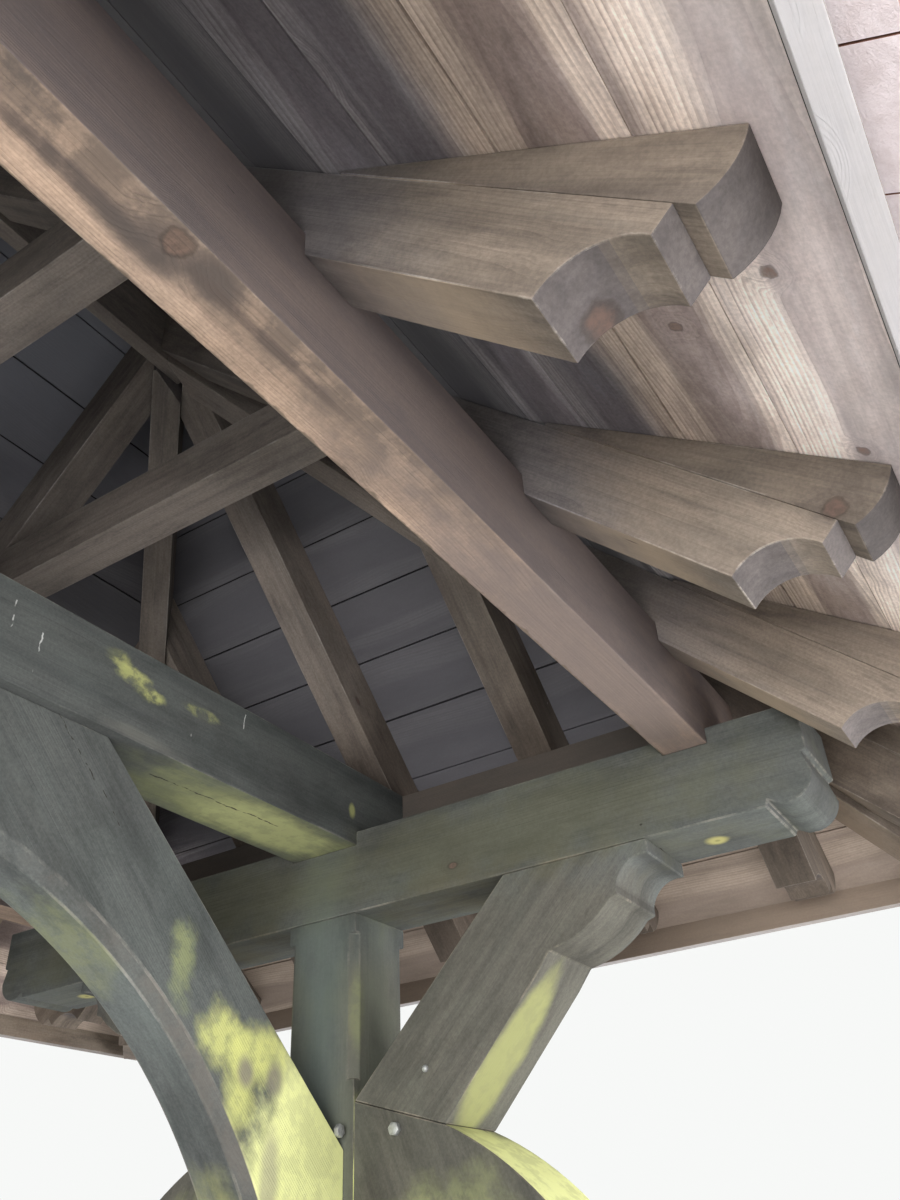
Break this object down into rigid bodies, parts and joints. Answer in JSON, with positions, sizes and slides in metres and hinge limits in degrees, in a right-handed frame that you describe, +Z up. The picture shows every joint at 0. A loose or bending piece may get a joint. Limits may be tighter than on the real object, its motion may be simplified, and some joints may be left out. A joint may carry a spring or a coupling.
{
  "type": "lychgate",
  "caption": "Timber lychgate whose braced side frames and arch-braced tie beam carry a hipped, boarded and tiled roof with sprocketed eaves over a path.",
  "frame": {"origin": "on the ground in the middle of the passage, under the middle of the ridge", "axes": "+X across the passage along the ridge, +Y along the path towards the back, +Z up"},
  "size_m": [4.486, 3.366, 3.8756],
  "materials": {
    "timber": "weathered brown-stained timber",
    "rafter": "weathered stained timber",
    "boarding": "rough-sawn stained boards",
    "tile": "matt fired clay"
  },
  "bodies": {
    "root": {"sill_left": "timber", "sill_right": "timber", "post_left": "timber", "post_right": "timber", "side_beam_left": "timber", "side_beam_right": "timber", "bracket_front_left": "timber", "bracket_front_right": "timber", "bracket_back_left": "timber", "bracket_back_right": "timber", "strut_front_left": "timber", "strut_front_right": "timber", "strut_back_left": "timber", "strut_back_right": "timber", "tie_beam": "timber", "arch_brace_left": "timber", "arch_brace_right": "timber", "plate_front": "timber", "plate_back": "timber", "plate_left": "timber", "plate_right": "timber", "ridge_board": "timber", "rafters_front": "rafter", "rafters_back": "rafter", "rafters_left": "rafter", "rafters_right": "rafter", "sprockets_front": "rafter", "sprockets_back": "rafter", "sprockets_left": "rafter", "sprockets_right": "rafter", "hip_front_left": "rafter", "hip_front_right": "rafter", "hip_back_left": "rafter", "hip_back_right": "rafter", "collars": "rafter", "boarding_front": "boarding", "boarding_back": "boarding", "boarding_left": "boarding", "boarding_right": "boarding", "fascia_front": "boarding", "fascia_back": "boarding", "fascia_left": "boarding", "fascia_right": "boarding", "tiles_front": "tile", "tiles_back": "tile", "tiles_left": "tile", "tiles_right": "tile", "ridge_tiles": "tile", "hip_tiles": "tile"}
  },
  "joints": []
}
